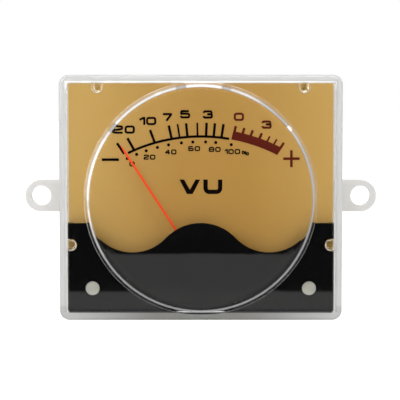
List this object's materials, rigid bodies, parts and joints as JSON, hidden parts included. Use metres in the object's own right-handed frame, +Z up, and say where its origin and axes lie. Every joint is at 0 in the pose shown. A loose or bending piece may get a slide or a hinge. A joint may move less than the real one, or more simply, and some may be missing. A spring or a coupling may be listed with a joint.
{
  "type": "analog vu meter",
  "caption": "Rectangular level meter with a clear cover, a raised round lens, an amber dial behind a black wave-shaped mask, a thin pointer on a moving coil, and two side mounting ears.",
  "frame": {"origin": "on the axis of the round lens, in the rectangular front face that the lens stands up from", "axes": "+X to the right as seen from the front, +Y from the front to the back, +Z up; the lens points to -Y"},
  "size_m": [0.0804, 0.0351, 0.055],
  "materials": {
    "clear_plastic": "clear polystyrene, polished",
    "milky_plastic": "milky translucent plastic, fine matte",
    "amber_dial": "amber translucent dial, printed, matte",
    "black_gloss": "black, polished",
    "pointer_orange": "fluorescent orange-red paint",
    "magnet": "sintered magnet, ground",
    "plated_steel": "zinc plated soft iron",
    "frame_plastic": "natural moulded plastic",
    "screw_steel": "nickel plated steel",
    "bridge_brass": "stamped brass",
    "jewel_red": "polished jewel",
    "former_aluminium": "drawn aluminium foil",
    "copper_wire": "lacquered copper wire",
    "pivot_steel": "polished hard steel",
    "spring_bronze": "rolled bronze strip",
    "cross_bronze": "bronze wire and hub",
    "sleeve_silicone": "soft silicone",
    "board_green": "glass-fibre board, green mask",
    "led_clear": "clear epoxy lamp",
    "resistor_body": "lacquered resistor",
    "pin_gold": "gold flashed pins",
    "stud_brass": "turned brass",
    "tinned_brass": "tinned brass sheet",
    "wire_cover": "insulated wire"
  },
  "bodies": {
    "case": {"front_cover": "clear_plastic", "rear_case": "milky_plastic", "dial_plate": "amber_dial", "black_mask": "black_gloss", "core_magnet": "magnet", "yoke_ring": "plated_steel", "movement_frame": "frame_plastic", "movement_screws": "screw_steel", "front_bridge": "bridge_brass", "rear_bridge": "bridge_brass", "front_pillars": "bridge_brass", "rear_pillars": "bridge_brass", "bridge_screws": "screw_steel", "front_jewel_screw": "screw_steel", "rear_jewel_screw": "screw_steel", "front_jewel": "jewel_red", "rear_jewel": "jewel_red", "front_locknut": "bridge_brass", "rear_locknut": "bridge_brass", "front_abutment": "bridge_brass", "front_hairspring": "spring_bronze", "rear_hairspring": "spring_bronze", "stop_pins": "pivot_steel", "stop_sleeves": "sleeve_silicone", "lamp_board": "board_green", "lamp_leds": "led_clear", "lamp_resistor": "resistor_body", "lamp_pins": "pin_gold", "lamp_screws": "screw_steel", "terminal_studs": "stud_brass", "terminal_washers": "screw_steel", "solder_tags": "tinned_brass", "terminal_nuts": "stud_brass", "lead_wires": "wire_cover"},
    "pointer_assembly": {"pointer": "pointer_orange", "balance_cross": "cross_bronze", "balance_weights": "bridge_brass", "coil_former": "former_aluminium", "coil_winding": "copper_wire", "front_pivot": "pivot_steel", "rear_pivot": "pivot_steel", "front_collet": "bridge_brass", "rear_collet": "bridge_brass"},
    "zero_lever": {"zero_regulator": "bridge_brass"},
    "zero_screw": {"zero_adjuster": "milky_plastic"}
  },
  "joints": [
    {"name": "pointer_swing", "type": "hinge", "parent": "case", "child": "pointer_assembly", "pos_m": [0, 0.0131, -0.01615], "axis": [0, 1, 0], "range_deg": [-2, 70], "stiffness_Nm_per_rad": 0.00001, "deforming": ["front_hairspring", "rear_hairspring"]},
    {"name": "zero_screw_turn", "type": "hinge", "parent": "case", "child": "zero_screw", "pos_m": [0, 0.0242, -0.01055], "axis": [0, 1, 0], "range_deg": [-45, 45]},
    {"name": "zero_lever_turn", "type": "hinge", "parent": "case", "child": "zero_lever", "pos_m": [0, 0.0198, -0.01615], "axis": [0, 1, 0], "range_deg": [-6.6, 6.6], "deforming": ["rear_hairspring"]}
  ],
  "couplings": [
    {"joint": "zero_lever_turn", "follows": "zero_screw_turn", "ratio": 0.145}
  ]
}
